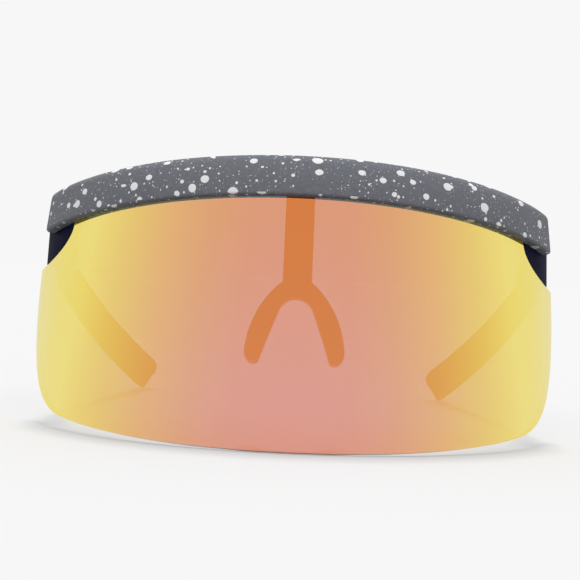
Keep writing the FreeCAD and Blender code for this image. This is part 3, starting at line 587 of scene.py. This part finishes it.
def buildPieces():
    finishes = {shade: mouldedNylon(shade) for shade in ("shadedNavy", "black")}
    finishes.update({make: brushedSteel(make) for make in ("stamped", "turned")})
    silicone = softSilicone()
    finishedCopy("brow_bar", [splatterPaint()], addMap=wrapMap, reshape=crownFront)
    finishedCopy("shield_lens", [mirrorCoat(), lensFilm(), lensRim()], chooseMaterial=lensSide)
    print("bar and lens finished")
    for name, (finish, edgeWidth) in middlePieces.items():
        finishedCopy(name, [finishes[finish]], edgeWidth)
    print("nose bridge finished")
    for side in ("left", "right"):
        softPad(f"{side}_nose_pad", silicone)
        for name, (finish, edgeWidth) in sidePieces.items():
            finishedCopy(f"{side}_{name}", [finishes[finish]], edgeWidth,
                         reshape=roundTip if name == "temple" else None)
        print(side, "pad, end piece, hinge and temple finished")


stage = {
    # the background, the floor as the camera sees it, and the floor as it lights the object
    "back": "#f7f7f7", "paperSeen": "#f2f2f2", "paper": "#929292",
    "floorSize": 8.0, "skyLight": 0.45,   # in metres, and the strength of the world's light
    # each lamp: power, spread and lean towards the front in degrees, and if it throws a shadow
    "lamps": {"overhead_softbox": (0.9, 12.0, -20.0, True), "front_fill": (1.5, 40.0, 40.0, False)},
}


def seenRay(material):
    # 1 for what the camera sees, straight or in a mirror, and 0 for light that falls on things,
    # by way of a mirror too
    path = addNode(material, "ShaderNodeLightPath")
    seen = path.outputs["Is Camera Ray"]
    for ray in ("Is Glossy Ray", "Is Transmission Ray"):
        seen = addNode(material, "ShaderNodeMath", {"operation": "MAXIMUM"},
                       {0: seen, 1: path.outputs[ray]}).outputs[0]
    straight = addNode(material, "ShaderNodeMath", {"operation": "LESS_THAN", 1: 0.5},
                       {0: path.outputs["Diffuse Depth"]})   # no matte surface on the way
    return addNode(material, "ShaderNodeMath", {"operation": "MULTIPLY"},
                   {0: seen, 1: straight.outputs[0]}).outputs[0]


def paleFloor():
    # a sheet of matte paper, shown paler than the light that it throws back on the object
    mesh = bmesh.new()
    bmesh.ops.create_grid(mesh, x_segments=1, y_segments=1, size=stage["floorSize"] / 2)
    data = bpy.data.meshes.new("floor")
    mesh.to_mesh(data)
    mesh.free()
    floor = bpy.data.objects.new("floor", data)
    bpy.context.scene.collection.objects.link(floor)
    material = newMaterial("pale_paper_floor")
    shown = addNode(material, "ShaderNodeBsdfDiffuse", {"Color": hexColour(stage["paperSeen"])})
    paper = addNode(material, "ShaderNodeBsdfDiffuse", {"Color": hexColour(stage["paper"])})
    both = addNode(material, "ShaderNodeMixShader", {},
                   {0: seenRay(material), 1: paper.outputs["BSDF"], 2: shown.outputs["BSDF"]})
    addNode(material, "ShaderNodeOutputMaterial", {}, {"Surface": both.outputs["Shader"]})
    data.materials.append(material)


def studioLight():
    world = bpy.data.worlds.new("studio")
    world.use_nodes = True
    world.node_tree.nodes.clear()
    bpy.context.scene.world = world
    strength = addNode(world, "ShaderNodeMapRange", {"To Min": stage["skyLight"], "To Max": 1.0},
                       {"Value": seenRay(world)})
    sky = addNode(world, "ShaderNodeBackground", {"Color": hexColour(stage["back"])},
                  {"Strength": strength.outputs["Result"]})
    addNode(world, "ShaderNodeOutputWorld", {}, {"Surface": sky.outputs["Background"]})
    for name, (power, spread, lean, shadow) in stage["lamps"].items():
        lamp = bpy.data.lights.new(name, "SUN")
        lamp.energy = power
        lamp.angle = math.radians(spread)
        lamp.use_shadow = shadow
        softbox = bpy.data.objects.new(name, lamp)
        softbox.rotation_euler = (math.radians(lean), 0, 0)
        softbox.visible_glossy = False   # the lens would throw a bright patch on the floor
        bpy.context.scene.collection.objects.link(softbox)


camera = {
    # sizes in mm, angles in degrees
    "place": (-1.9, -523.26, 51.5), "lookDown": 1.087, "roll": 2.55,
    "lens": 100.6, "sensor": 36.0, "nearest": 10,
}


def placeCamera():
    data = bpy.data.cameras.new("photo_camera")
    data.lens = camera["lens"]
    data.sensor_width = camera["sensor"]
    data.clip_start = camera["nearest"] * mm
    piece = bpy.data.objects.new("photo_camera", data)
    look = Matrix.Rotation(math.radians(90 - camera["lookDown"]), 4, "X")
    roll = Matrix.Rotation(math.radians(camera["roll"]), 4, "Z")
    piece.matrix_world = Matrix.Translation(Vector(camera["place"]) * mm) @ look @ roll
    bpy.context.scene.collection.objects.link(piece)
    bpy.context.scene.camera = piece


bpy.context.scene.view_settings.view_transform = "Standard"
buildPieces()
paleFloor()
studioLight()
placeCamera()
print("floor, light and camera set")
